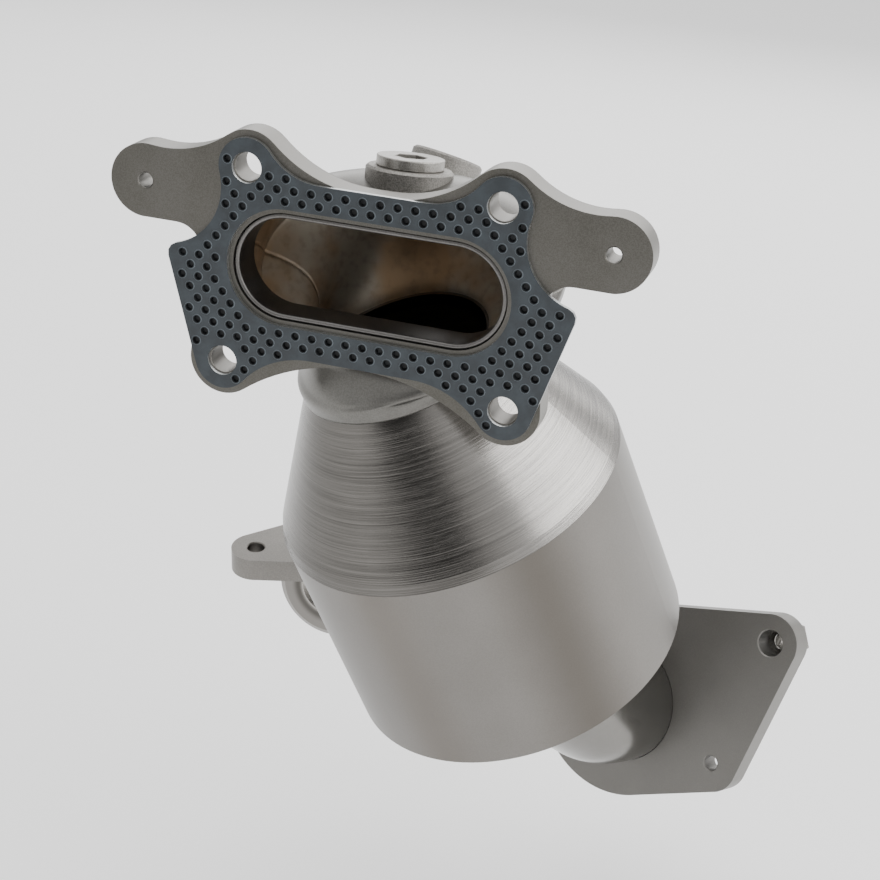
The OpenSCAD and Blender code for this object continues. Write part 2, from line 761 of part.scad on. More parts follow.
inlet_gasket();
inlet_flange();
port_sleeve();
plenum_rear_half();
plenum_front_half();
front_sensor_boss();
sensor_boss_plug();
rear_sensor_boss();
inlet_cone();
converter_shell();
support_mat();
upper_mat_seal();
lower_mat_seal();
catalyst_brick();
outlet_cone();
outlet_pipe();
outlet_flange();
outlet_weld_nut();
outlet_steel_ring();
outlet_donut_gasket();
side_bracket();
stay_pad();
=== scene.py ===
"""Looks of a manifold catalytic converter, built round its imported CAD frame.

The lengths are millimetres in the frame of the part: the origin is the centre
of the inlet port on the face of the gasket, Y runs into the part, Z is up.
"""

import logging
import math
from dataclasses import dataclass, field
from enum import Enum

import bmesh
import bpy
import numpy as np
from mathutils import Matrix
from mathutils.geometry import delaunay_2d_cdt


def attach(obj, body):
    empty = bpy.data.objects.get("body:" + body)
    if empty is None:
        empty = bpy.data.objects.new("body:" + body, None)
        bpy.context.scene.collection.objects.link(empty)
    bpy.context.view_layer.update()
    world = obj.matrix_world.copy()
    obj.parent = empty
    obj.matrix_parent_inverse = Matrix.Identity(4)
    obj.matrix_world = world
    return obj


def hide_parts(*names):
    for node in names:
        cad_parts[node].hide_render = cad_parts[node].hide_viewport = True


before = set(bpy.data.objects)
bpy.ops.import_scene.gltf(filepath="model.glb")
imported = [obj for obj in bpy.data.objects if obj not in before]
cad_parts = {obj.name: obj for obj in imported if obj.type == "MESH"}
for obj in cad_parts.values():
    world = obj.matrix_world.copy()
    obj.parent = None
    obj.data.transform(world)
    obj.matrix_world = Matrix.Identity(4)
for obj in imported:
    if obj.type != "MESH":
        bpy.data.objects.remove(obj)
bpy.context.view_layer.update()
LOG = logging.getLogger("converter")
MM = 0.001
Point = tuple[float, float, float]
Look = bpy.types.Material


# Places

def shift(x: float, y: float, z: float) -> np.ndarray:
    """Returns the 4 by 4 matrix that moves by x, y and z."""
    m = np.eye(4)
    m[:3, 3] = (x, y, z)
    return m


def turn(axis: int, degrees: float) -> np.ndarray:
    """Turns about one axis.

    Args:
        axis: 0 for X, 1 for Y, 2 for Z.
        degrees: the angle, positive by the right-hand rule.

    Returns:
        The 4 by 4 matrix of the turn.
    """
    c, s = math.cos(math.radians(degrees)), math.sin(math.radians(degrees))
    i, j = (axis + 1) % 3, (axis + 2) % 3
    m = np.eye(4)
    m[i, i], m[i, j], m[j, i], m[j, j] = c, -s, s, c
    return m


def carry(place: np.ndarray, points: np.ndarray) -> np.ndarray:
    """Carries points of any grid shape from a local frame to the part's frame.

    Args:
        place: the local frame's 4 by 4 matrix.
        points: an array whose last axis is x, y, z.

    Returns:
        The carried points, in the same shape.
    """
    return points @ place[:3, :3].T + place[:3, 3]


def circle(count: int) -> np.ndarray:
    """Returns that many angles round a full turn."""
    return np.linspace(0, 2 * math.pi, count, endpoint=False)


def heading(a: np.ndarray) -> np.ndarray:
    """Returns the unit vector of the plane at each angle."""
    return np.stack([np.cos(a), np.sin(a)], -1)


def around(place: np.ndarray, r: np.ndarray, a: np.ndarray, z: np.ndarray) -> np.ndarray:
    """Lays points at radius r, angle a and height z of a local frame; the three broadcast together."""
    return carry(place, np.stack(np.broadcast_arrays(r * np.cos(a), r * np.sin(a), z), -1))


# WELD_GAP is the room between welded sheets, PIPE_START the pipe's distance below the can
WELD_GAP = 0.15
BEND_R = 40.0
FIRST_BEND, SECOND_BEND = 27.7, 23.3
PIPE_START, PIPE_STRAIGHT = 0.2, 42.5


def after_bend(degrees: float) -> np.ndarray:
    """Returns the frame at the end of one pipe bend of BEND_R, which starts down local -Z."""
    a = math.radians(degrees)
    return shift(BEND_R * (1 - math.cos(a)), 0, -BEND_R * math.sin(a)) @ turn(1, -degrees)


CAN_LENGTH = 82.6
CAN = shift(17.7, 54.5, -84) @ turn(0, 20) @ turn(1, -17.8)
ELBOW = CAN @ shift(0, 0, -CAN_LENGTH) @ turn(2, 75)
OUTLET = (ELBOW @ shift(0, 0, -PIPE_START) @ after_bend(FIRST_BEND) @ shift(0, 0, -PIPE_STRAIGHT)
          @ after_bend(SECOND_BEND) @ shift(0, 0, -7.8) @ turn(2, -101.3))
WELD_NUT = OUTLET @ shift(58.2, 47.1, -9)
FRONT_BOSS = shift(0, 38, 29.5) @ turn(0, -6.4)
REAR_BOSS = shift(4.2, 68, 27.6) @ turn(0, -20.5) @ turn(1, 9.2)
SEAM_SIDE = CAN @ shift(0, 0, -0.65 * CAN_LENGTH)
PAD = shift(*(SEAM_SIDE[:3, 3] + (-71.413, 19.516, -26.763))) @ turn(0, 90)
UPRIGHT = np.eye(4)


# Meshes

@dataclass(frozen=True)
class Patch:
    """A surface on a grid of points.

    Attributes:
        points: rows by columns by 3, in millimetres.
        closed_rows: whether the last row joins the first.
        closed_cols: whether the last column joins the first.
        capped: whether the first and last rows are closed by flat faces.
        turned: whether the faces are turned round.
    """

    points: np.ndarray
    closed_rows: bool = False
    closed_cols: bool = True
    capped: bool = False
    turned: bool = False

    def faces(self) -> list[list[int]]:
        """Returns the quads of the grid, and the two caps where it has them."""
        rows, cols = self.points.shape[:2]
        i = np.arange(rows if self.closed_rows else rows - 1)
        j = np.arange(cols if self.closed_cols else cols - 1)
        a, b = np.meshgrid(i, j, indexing="ij")
        c, d = (a + 1) % rows, (b + 1) % cols
        quads = np.stack([a * cols + b, a * cols + d, c * cols + d, c * cols + b], -1).reshape(-1, 4)
        out = quads.tolist()
        if self.capped:
            out.append(np.arange(cols)[::-1].tolist())
            out.append((np.arange(cols) + (rows - 1) * cols).tolist())
        return [face[::-1] for face in out] if self.turned else out


def add_piece(name: str, points: np.ndarray, faces: list[list[int]],
              crease: float = 35.0) -> bpy.types.Object:
    """Makes one smooth-shaded mesh object.

    Args:
        name: the piece's name.
        points: any grid of points in millimetres.
        faces: lists of point numbers.
        crease: edges sharper than this many degrees stay sharp.

    Returns:
        The new object, linked to the scene.
    """
    mesh = bpy.data.meshes.new(name)
    mesh.from_pydata((points.reshape(-1, 3) * MM).tolist(), [], faces)
    mesh.validate()
    mesh.shade_smooth()
    mesh.set_sharp_from_angle(angle=math.radians(crease))
    piece = bpy.data.objects.new(name, mesh)
    bpy.context.scene.collection.objects.link(piece)
    return piece


def settle(piece: bpy.types.Object, slot: str, nodes: tuple[str, ...], *looks: Look) -> None:
    """Dresses a new piece, hangs it on the root and hides the CAD nodes that it stands for.

    Args:
        piece: the new object.
        slot: the material slot that the piece belongs to; not used.
        nodes: the CAD nodes that it stands for, or none.
        looks: its materials, in the order of its material slots.
    """
    for look in looks:
        piece.data.materials.append(look)
    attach(piece, "root")
    if nodes:
        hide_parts(*nodes)
    LOG.info("piece %s: %d faces", piece.name, len(piece.data.polygons))


def dress(node: str, look: Look) -> None:
    """Gives a CAD node its material."""
    mesh_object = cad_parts[node]
    for slot in mesh_object.material_slots:
        slot.material = look
    LOG.info("node %s: %s", node, look.name)


def rounded(a: tuple[float, float], corner: tuple[float, float], b: tuple[float, float], r: float,
            steps: int = 5) -> list[tuple[float, float]]:
    """Rounds a profile's corner: the points (1-t)^2 p + 2 t (1-t) corner + t^2 q, with p and q at r from it.

    Args:
        a: the profile point before the corner.
        corner: the corner.
        b: the profile point after it.
        r: how far from the corner the rounding starts.
        steps: the number of stretches.

    Returns:
        The points that take the corner's place.
    """
    c = np.array(corner, float)
    u, v = np.array(a, float) - c, np.array(b, float) - c
    p, q = c + r * u / np.linalg.norm(u), c + r * v / np.linalg.norm(v)
    t = np.linspace(0, 1, steps + 1)[:, None]
    return [tuple(row) for row in (1 - t) ** 2 * p + 2 * t * (1 - t) * c + t ** 2 * q]


# Shaders

class Signal:
    """A number that runs through a shader, with Python's operators."""

    def __init__(self, shade: "Shade", socket: bpy.types.NodeSocket) -> None:
        """Wraps one output socket of the shade's node tree."""
        self.shade = shade
        self.socket = socket

    def _do(self, operation: str, *others: "Signal | float") -> "Signal":
        """Adds a Math node that works on this number and the others."""
        return self.shade.math(operation, self, *others)

    def __add__(self, other: "Signal | float") -> "Signal":
        """Returns the sum."""
        return self._do("ADD", other)

    __radd__ = __add__

    def __mul__(self, other: "Signal | float") -> "Signal":
        """Returns the product."""
        return self._do("MULTIPLY", other)

    __rmul__ = __mul__

    def __sub__(self, other: "Signal | float") -> "Signal":
        """Returns the difference."""
        return self._do("SUBTRACT", other)

    def __rsub__(self, other: float) -> "Signal":
        """Returns a number less this one."""
        return self.shade.math("SUBTRACT", other, self)

    def __truediv__(self, other: "Signal | float") -> "Signal":
        """Returns the quotient."""
        return self._do("DIVIDE", other)

    def __pow__(self, other: float) -> "Signal":
        """Returns the power."""
        return self._do("POWER", other)

    def bounded(self) -> "Signal":
        """Returns the number held between 0 and 1."""
        held = self * 1.0
        held.socket.node.use_clamp = True
        return held

    def between(self, low: float, high: float) -> "Signal":
        """Returns 0 below low, 1 above high and a smooth rise between."""
        node = self.shade.node("ShaderNodeMapRange", {"interpolation_type": "SMOOTHSTEP"},
                               {"Value": self, "From Min": low, "From Max": high})
        return self.shade.signal(node, "Result")


Link = Signal | bpy.types.NodeSocket | float | tuple


class Shade:
    """A material's node tree while it is built."""

    def __init__(self, name: str) -> None:
        """Starts an empty material of that name."""
        self.material = bpy.data.materials.new(name)
        self.material.use_nodes = True
        self.tree = self.material.node_tree
        self.tree.nodes.clear()
        self.place = self.node("ShaderNodeTexCoord").outputs["Object"]

    def node(self, kind: str, settings: dict | None = None,
             inputs: dict[str, Link] | None = None) -> bpy.types.Node:
        """Adds a node.

        Args:
            kind: the node's type.
            settings: its properties, set before its inputs.
            inputs: values or links by socket identifier or name.

        Returns:
            The node.
        """
        node = self.tree.nodes.new(kind)
        for key, value in (settings or {}).items():
            setattr(node, key, value)
        for key, value in (inputs or {}).items():
            named = [s for s in node.inputs if s.identifier == key]
            named += [s for s in node.inputs if s.name == key]
            if isinstance(value, Signal):
                value = value.socket
            if isinstance(value, bpy.types.NodeSocket):
                self.tree.links.new(value, named[0])
            else:
                named[0].default_value = value
        return node

    def signal(self, node: bpy.types.Node, output: str) -> Signal:
        """Returns a node's output as a number."""
        return Signal(self, node.outputs[output])

    def math(self, operation: str, *values: Link) -> Signal:
        """Adds a Math node on the given values."""
        node = self.tree.nodes.new("ShaderNodeMath")
        node.operation = operation
        for socket, value in zip(node.inputs, values):
            if isinstance(value, Signal):
                self.tree.links.new(value.socket, socket)
            else:
                socket.default_value = value
        return Signal(self, node.outputs[0])

    def vector(self, operation: str, a: Link, b: Link) -> bpy.types.NodeSocket:
        """Adds a Vector Math node and returns its vector."""
        node = self.node("ShaderNodeVectorMath", {"operation": operation}, {"Vector": a, "Vector_001": b})
        return node.outputs["Vector"]

    def dot(self, a: Link, b: tuple[float, float, float]) -> Signal:
        """Returns the dot product of a vector with a fixed one."""
        node = self.node("ShaderNodeVectorMath", {"operation": "DOT_PRODUCT"}, {"Vector": a, "Vector_001": b})
        return self.signal(node, "Value")

    def join(self, x: Link, y: Link, z: Link) -> bpy.types.NodeSocket:
        """Joins three numbers to a vector."""
        return self.node("ShaderNodeCombineXYZ", None, {"X": x, "Y": y, "Z": z}).outputs["Vector"]

    def noise(self, vector: Link, scale: float, detail: float = 3.0, rough: float = 0.5) -> Signal:
        """Returns a noise of about 0.2 to 0.8 at that many features per metre."""
        node = self.node("ShaderNodeTexNoise", None,
                         {"Vector": vector, "Scale": scale, "Detail": detail, "Roughness": rough})
        return self.signal(node, "Fac")

    def blend(self, factor: Link, a: Link, b: Link) -> bpy.types.NodeSocket:
        """Mixes two colours."""
        node = self.node("ShaderNodeMix", {"data_type": "RGBA"},
                         {"Factor_Float": factor, "A_Color": a, "B_Color": b})
        return next(s for s in node.outputs if s.identifier == "Result_Color")

    def axial(self, place: np.ndarray) -> tuple[Signal, Signal, Signal, Signal]:
        """Measures a surface point in a turned frame.

        Args:
            place: the frame whose Z is the axis, in millimetres.

        Returns:
            The height along the axis, the radius, and the cosine and sine of
            the angle round it. The first two are in metres.
        """
        centre = tuple(place[:3, 3] * MM)
        local = self.vector("SUBTRACT", self.place, centre)
        x, y, z = (self.dot(local, tuple(place[:3, k])) for k in range(3))
        radius = (x * x + y * y) ** 0.5
        safe = radius + 0.00001
        return z, radius, x / safe, y / safe

    def finish(self, colour: Link, roughness: Link, height: Signal | None = None, relief: float = 0.0,
               **fixed: float) -> Look:
        """Closes the material with a Principled shader.

        Args:
            colour: the base colour.
            roughness: the roughness.
            height: what the bump follows, or None.
            relief: the height of the bump in metres.
            fixed: other inputs that are the same all over, with _ for a space.

        Returns:
            The finished material.
        """
        inputs: dict[str, Link] = {"Base Color": colour, "Roughness": roughness}
        if height is not None:
            bump = self.node("ShaderNodeBump", None, {"Height": height, "Distance": relief, "Strength": 1.0})
            inputs["Normal"] = bump.outputs["Normal"]
        inputs.update({key.replace("_", " "): value for key, value in fixed.items()})
        shader = self.node("ShaderNodeBsdfPrincipled", None, inputs)
        self.node("ShaderNodeOutputMaterial", None, {"Surface": shader.outputs["BSDF"]})
        return self.material


def tint(code: str) -> tuple[float, float, float, float]:
    """Turns an sRGB code such as 9a9894 into a linear colour."""
    v = np.array([int(code[i:i + 2], 16) for i in (0, 2, 4)]) / 255
    linear = np.where(v <= 0.04045, v / 12.92, ((v + 0.055) / 1.055) ** 2.4)
    return (*(float(c) for c in linear), 1.0)


class Marks(Enum):
    """How a steel surface was worked."""

    PLAIN = "fine even grain of plate, sheet or tube"
    TURNED = "rings round an axis"
    CAST = "pits and grains of a cast or sintered face"


@dataclass(frozen=True)
class Steel:
    """A steel finish.

    Attributes:
        name: the material's name.
        low: the darker colour, as an sRGB code.
        high: the lighter colour.
        roughness: the mean roughness.
        spread: how far the roughness varies either way.
        relief: the height of the marks in metres.
        pitch: the width of one mark in millimetres.
        marks: how the surface was worked.
        axis: the frame whose Z the turned marks and the painted reflection stripes go round.
        reflection_bands: painted reflections, light and dark stripes along the axis for the streaks that a
            surface mirrors; each the angle of its middle and its half width in degrees, its colour and its
            strength.
        fade: the two heights in metres between which the marks die away.
        side_highlight: a lighter colour painted on a plate's sides as a highlight, for the light
            that falls on them, and the two depths along Y in metres between which the sides lie.
        metallic: how far it mirrors as bare metal.
    """

    name: str
    low: str
    high: str
    roughness: float
    spread: float = 0.06
    relief: float = 0.00001
    pitch: float = 0.5
    marks: Marks = Marks.PLAIN
    axis: np.ndarray = field(default_factory=lambda: UPRIGHT)
    reflection_bands: tuple[tuple[float, float, str, float], ...] = ()
    fade: tuple[float, float] | None = None
    side_highlight: tuple[str, float, float] | None = None
    metallic: float = 1.0

    def material(self) -> Look:
        """Builds the material."""
        shade = Shade(self.name)
        per_metre = 1000 / self.pitch
        cloud = shade.noise(shade.place, 38, 4, 0.6)
        z, radius, c, s = shade.axial(self.axis)
        if self.marks is Marks.TURNED:
            height = (z - radius * 0.5) * per_metre
            fine = shade.noise(shade.join(c * 0.7, s * 0.7, height), 1, 4, 0.62)
            coarse = shade.noise(shade.join(c * 1.6, s * 1.6, height * 0.4), 1, 2, 0.5)
            grain = fine * 0.7 + coarse * 0.3
        elif self.marks is Marks.CAST:
            grain = shade.noise(shade.place, per_metre, 3, 0.7)
        else:
            grain = shade.noise(shade.place, per_metre, 2, 0.5)
        if self.fade:
            grain = (grain - 0.5) * (1 - z.between(*self.fade)) + 0.5
        clouds = 0.12 if self.marks is Marks.TURNED else 0.38
        share = (grain.between(0.3, 0.7) * (1 - clouds) + cloud.between(0.3, 0.7) * clouds).bounded()
        colour = shade.blend(share, tint(self.low), tint(self.high))
        # painted reflections: colour stripes by the angle round the axis stand in for the light and dark
        # streaks that a turned or satin surface mirrors
        if self.reflection_bands:
            angle = shade.math("ARCTAN2", s, c)
            for middle, width, code, strength in self.reflection_bands:
                away = shade.math("ABSOLUTE", angle - math.radians(middle))
                near = (1 - away.between(0, math.radians(width))) * strength
                colour = shade.blend(near, colour, tint(code))
        # painted highlight: the plate's sides are painted lighter for the light that falls on them
        if self.side_highlight:
            code, front, back = self.side_highlight
            y = shade.dot(shade.place, (0.0, 1.0, 0.0))
            soft = 0.0002
            side = y.between(front, front + soft) * (1 - y.between(back - soft, back))
            colour = shade.blend(side * 0.75, colour, tint(code))
        rough = (grain - 0.5) * (2 * self.spread) + (cloud - 0.5) * self.spread + self.roughness
        return shade.finish(colour, rough.bounded(), grain, self.relief, Metallic=self.metallic)


# Painted reflections round the can's axis: the middle angle and half width in degrees, colour and strength of
# each light or dark stripe that the turned cone and the satin shell would mirror
CONE_REFLECTIONS = ((-72.0, 26.0, "3a3836", 0.42), (-15.0, 50.0, "d2cfcb", 0.5), (-128.0, 44.0, "53514e", 0.6))
SHELL_REFLECTIONS = ((-97.5, 17.0, "6b655e", 0.5), (-44.5, 24.0, "524d47", 0.7), (-138.0, 34.0, "53504c", 0.6))


@dataclass(frozen=True)
class PressedPad:
    """Pressed steel with a polished dish round its bolt hole, with a painted highlight in the dish and
    painted shade in the fold round it.

    Attributes:
        name: the material's name.
        rim: the colour of the flat rim.
        dish: the colour of the polished dish, painted lighter than the rim as a highlight.
        fold_shade: the painted shade of the fold between them.
        place: the frame of the dish, whose Z is its axis.
    """

    name: str = "pressed_pad"
    rim: str = "83807c"
    dish: str = "b9b6b1"
    fold_shade: str = "45433f"
    place: np.ndarray = field(default_factory=lambda: PAD)

    def material(self) -> Look:
        """Builds the material: painted shade darkest at 13.5 mm from the axis in the fold, with the dish
        inside it painted lighter as a highlight.
        """
        shade = Shade(self.name)
        _, radius, _, _ = shade.axial(self.place)
        grain = shade.noise(shade.place, 2200, 2, 0.5)
        inside = 1 - radius.between(0.011, 0.0135)
        fold = radius.between(0.0105, 0.013) * (1 - radius.between(0.0135, 0.0165))
        # painted highlight in the dish and painted shade in the fold, for the light and shade that the pad's
        # rolled shape would show
        body = shade.blend(inside, tint(self.rim), tint(self.dish))
        colour = shade.blend(fold * 0.75, body, tint(self.fold_shade))
        return shade.finish(colour, 0.4 - inside * 0.22 + (grain - 0.5) * 0.05, grain, 0.000004, Metallic=1.0)


@dataclass(frozen=True)
class HeatTint:
    """Steel that hot gas has browned: bronze patches over a grey ground."""

    name: str = "browned_inner_wall"
    dark: str = "6a5a48"
    bronze: str = "a08668"
    pale: str = "aaa498"

    def material(self) -> Look:
        """Builds the material."""
        shade = Shade(self.name)
        patch = shade.noise(shade.place, 26, 3, 0.5)
        fine = shade.noise(shade.place, 300, 3, 0.5)
        warm = shade.blend(patch.between(0.35, 0.6), tint(self.pale), tint(self.bronze))
        colour = shade.blend(fine.between(0.45, 0.75) * 0.3, warm, tint(self.dark))
        return shade.finish(colour, 0.46 + (fine - 0.5) * 0.1, fine, 0.00002, Metallic=0.55)


@dataclass(frozen=True)
class Fibre:
    """A mat, felt or wire-mesh ring: short crossed fibres."""

    name: str
    low: str
    high: str
    metallic: float = 0.0

    def material(self) -> Look:
        """Builds the material."""
        shade = Shade(self.name)
        bent = shade.vector("MULTIPLY", shade.place, (900.0, 260.0, 900.0))
        strand = shade.noise(bent, 1, 3, 0.6)
        cross = shade.noise(shade.vector("MULTIPLY", shade.place, (260.0, 900.0, 700.0)), 1, 3, 0.6)
        share = (strand * cross * 4).between(0.6, 1.4)
        return shade.finish(shade.blend(share, tint(self.low), tint(self.high)), 0.85, share, 0.0002,
                            Metallic=self.metallic)


@dataclass(frozen=True)
class Honeycomb:
    """The coated brick: fine square cells seen end on, between the drawn channels, with painted shade in
    their openings.
    """

    name: str = "washcoated_brick"
    wall: str = "c9bfa8"
    # painted shade inside the open channels
    cell_shade: str = "4a4438"
    pitch: float = 1.27

    def material(self) -> Look:
        """Builds the material: each opening is painted dark, as the shade deep inside it, where both sines of
        its place are high.
        """
        shade = Shade(self.name)
        local = shade.vector("SUBTRACT", shade.place, tuple(CAN[:3, 3] * MM))
        k = math.pi / (self.pitch * MM)
        sines = [shade.math("SINE", shade.dot(local, tuple(CAN[:3, i] * k))) for i in (0, 1)]
        waves = [shade.math("ABSOLUTE", sine) for sine in sines]
        open_cell = waves[0].between(0.25, 0.45) * waves[1].between(0.25, 0.45)
        colour = shade.blend(open_cell, tint(self.wall), tint(self.cell_shade))
        return shade.finish(colour, 0.8, 1 - open_cell, 0.0003)


@dataclass(frozen=True)
class Graphite:
    """Pressed graphite with scratches that run out from an axis."""

    name: str
    low: str
    high: str
    axis: np.ndarray = field(default_factory=lambda: UPRIGHT)

    def material(self) -> Look:
        """Builds the material."""
        shade = Shade(self.name)
        z, radius, c, s = shade.axial(self.axis)
        scratch = shade.noise(shade.join(c * 26, s * 26, radius * 90 + z * 90), 1, 4, 0.7)
        fleck = shade.noise(shade.place, 700, 2, 0.5)
        share = (scratch.between(0.42, 0.72) * 0.8 + fleck.between(0.5, 0.7) * 0.2).bounded()
        return shade.finish(shade.blend(share, tint(self.low), tint(self.high)), 0.5 + (fleck - 0.5) * 0.3,
                            scratch, 0.0001, Metallic=0.35)


@dataclass(frozen=True)
class Facing:
    """The graphite facing of the gasket."""

    name: str = "graphite_facing"
    low: str = "22272b"
    high: str = "353c41"

    def material(self) -> Look:
        """Builds the material."""
        shade = Shade(self.name)
        cloud = shade.noise(shade.place, 160, 4, 0.6)
        fleck = shade.noise(shade.place, 1500, 2, 0.6)
        share = (cloud.between(0.3, 0.7) * 0.7 + fleck * 0.3).bounded()
        colour = shade.blend(share, tint(self.low), tint(self.high))
        return shade.finish(colour, 0.42 + (cloud - 0.5) * 0.25, fleck, 0.00003, Metallic=0.1)


# Sub-assemblies

@dataclass
class Sleeve:
    """The lining of the port: a stadium ring with a rolled front lip."""

    width: float = 92.7
    height: float = 35.7
    wall: float = 1.8
    front: float = 1.8
    tail: float = 14.5
    sides: int = 180

    def outline(self, count: int) -> tuple[np.ndarray, np.ndarray]:
        """Walks round the outer stadium at an even pace.

        Args:
            count: the number of points.

        Returns:
            The points and the outward directions, each count by 2.
        """
        r = self.height / 2
        half = self.width / 2 - r
        straight, arc = 2 * half, math.pi * r
        s = np.linspace(0, 2 * (straight + arc), count, endpoint=False)
        right = s < straight + arc
        u = np.where(right, s, s - straight - arc)
        flat = u < straight
        a = np.where(flat, math.pi / 2, math.pi / 2 - (u - straight) / r)
        centre = np.where(flat, u - half, half)
        n = heading(a)
        p = np.stack([centre, 0 * centre], -1) + r * n
        sign = np.where(right, 1.0, -1.0)[:, None]
        return p * sign, n * sign

    def build(self, look: Look) -> None:
        """Carries the wall's profile round the stadium."""
        lip = self.wall / 2
        a = np.linspace(0, math.pi, 9)
        depth = np.concatenate([[0.0], lip - lip * np.cos(a), [self.wall]])
        y = np.concatenate([[self.tail], self.front + lip - lip * np.sin(a), [self.tail]])
        p, n = self.outline(self.sides)
        xz = p[None] - depth[:, None, None] * n[None]
        points = np.stack([xz[..., 0], np.broadcast_to(y[:, None], xz.shape[:2]), xz[..., 1]], -1)
        piece = add_piece("port_sleeve_rolled", points, Patch(points, closed_rows=True).faces(), 50)
        settle(piece, "port_sleeve", ("port_sleeve",), look)


# The gasket's finishes, in the order of its material slots
FACE, CUP, EDGE, RIM = range(4)


@dataclass
class Gasket:
    """The inlet gasket: a flat sheet with round lobes, pointed side tips and rows of punched pits.

    A pit is a raised rim round a small deep cup.
    """

    top_hole: tuple[float, float] = (42.5, 31.3)
    low_hole: tuple[float, float] = (48.5, -35.0)
    tip: tuple[float, float] = (65.4, -0.8)
    tip_r: float = 3.6
    lobe_r: float = 9.7
    hole_r: float = 5.1
    top_edge: float = 28.9
    low_edge: float = -29.9
    top_fillet: float = 22.0
    low_fillet: float = 30.0
    side_fillet: float = 21.0
    port: tuple[float, float] = (96.2, 39.2)
    thickness: float = 1.5
    pitch: tuple[float, float] = (5.8, 3.7)
    rows: int = 12
    cols: int = 14
    arc_step: float = 1.2
    pit_r: float = 1.7
    pit_clear: float = 0.12
    pit_sides: int = 12
    pit_rings: tuple[tuple[float, float], ...] = ((1.55, -0.14), (1.32, -0.14), (1.16, 0.15), (0.9, 0.95))

    def arc(self, centre: np.ndarray, r: float, start: np.ndarray, end: np.ndarray, way: int) -> np.ndarray:
        """Walks an arc: centre + r (cos a, sin a).

        Args:
            centre: its centre.
            r: its radius.
            start: a point that the arc starts towards.
            end: a point that it ends towards.
            way: 1 for counter-clockwise, -1 for clockwise.

        Returns:
            Points about arc_step apart.
        """
        a0, a1 = (math.atan2(*(p - centre)[::-1]) for p in (start, end))
        a1 += way * 2 * math.pi * (0 if (a1 - a0) * way > 0 else 1)
        return centre + r * heading(np.linspace(a0, a1, max(3, int(abs(a1 - a0) * r / self.arc_step))))

    def fillet_centre(self, lobe: np.ndarray, height: float, r: float) -> np.ndarray:
        """Finds the centre of a fillet of radius r at that height, inward of the lobe that it touches."""
        return np.array([lobe[0] - math.sqrt((r + self.lobe_r) ** 2 - (height - lobe[1]) ** 2), height])

    def outline(self) -> np.ndarray:
        """Walks clockwise round the edge: fillet, lobe, fillet, tip, lobe, fillet, and the same mirrored."""
        top, low, tip = (np.array(p) for p in (self.top_hole, self.low_hole, self.tip))
        top_mid = self.fillet_centre(top, self.top_edge + self.top_fillet, self.top_fillet)
        low_mid = self.fillet_centre(low, self.low_edge - self.low_fillet, self.low_fillet)
        span = np.linalg.norm(tip - top)
        e = (tip - top) / span
        p, q = self.lobe_r + self.side_fillet, self.tip_r + self.side_fillet
        along = (p * p - q * q + span * span) / (2 * span)
        shoulder = top + along * e + math.sqrt(p * p - along * along) * np.array([-e[1], e[0]])
        span = np.linalg.norm(tip - low)
        e = (tip - low) / span
        lean = (self.lobe_r - self.tip_r) / span
        n = lean * e + math.sqrt(1 - lean * lean) * np.array([e[1], -e[0]])
        right = np.concatenate([
            self.arc(top_mid, self.top_fillet, top_mid - (0, 1), top, 1),
            self.arc(top, self.lobe_r, top_mid, shoulder, -1)[1:],
            self.arc(shoulder, self.side_fillet, top, tip, 1)[1:],
            self.arc(tip, self.tip_r, shoulder, tip + n, -1)[1:],
            self.arc(low, self.lobe_r, low + n, low_mid, -1),
            self.arc(low_mid, self.low_fillet, low, low_mid + (0, 1), 1)[1:]])
        return np.concatenate([right, right[::-1] * (-1, 1)])

    def holes(self) -> list[np.ndarray]:
        """Returns the loops of the port and of the four stud holes."""
        w, h = self.port
        right = h / 2 * heading(np.linspace(-math.pi / 2, math.pi / 2, 40)) + (w / 2 - h / 2, 0)
        loops = [np.concatenate([right, right * (-1, -1)])]
        ring = self.hole_r * heading(circle(32))
        for side in (1, -1):
            loops += [ring + (side * c[0], c[1]) for c in (self.top_hole, self.low_hole)]
        return loops

    @staticmethod
    def inside(points: np.ndarray, loop: np.ndarray) -> np.ndarray:
        """Tells which points lie in a loop, by the number of edges to their right."""
        a, b = loop, np.roll(loop, -1, 0)
        x, y = points[:, :1], points[:, 1:]
        spans = (a[:, 1] > y) != (b[:, 1] > y)
        rise = np.where(b[:, 1] == a[:, 1], 1e-9, b[:, 1] - a[:, 1])
        cross = x < (b[:, 0] - a[:, 0]) * (y - a[:, 1]) / rise + a[:, 0]
        return (spans & cross).sum(1) % 2 == 1

    def pits(self, loops: list[np.ndarray]) -> np.ndarray:
        """Places the pits in staggered rows, clear of every edge."""
        px, pz = self.pitch
        row = np.arange(-self.rows, self.rows + 1)
        col = np.arange(-self.cols, self.cols + 1)
        z, x = np.meshgrid(row * pz, col * px, indexing="ij")
        x = x + (row % 2)[:, None] * px / 2
        at = np.stack([x.ravel(), z.ravel()], -1)
        keep = self.inside(at, loops[0])
        for loop in loops[1:]:
            keep &= ~self.inside(at, loop)
        starts = np.concatenate(loops)
        ways = np.concatenate([np.roll(loop, -1, 0) - loop for loop in loops])
        share = ((at[:, None] - starts) * ways).sum(2) / np.maximum((ways * ways).sum(1), 1e-9)
        foot = starts + np.clip(share, 0, 1)[..., None] * ways
        near = np.linalg.norm(at[:, None] - foot, axis=2).min(1)
        return at[keep & (near > self.pit_r + self.pit_clear)]

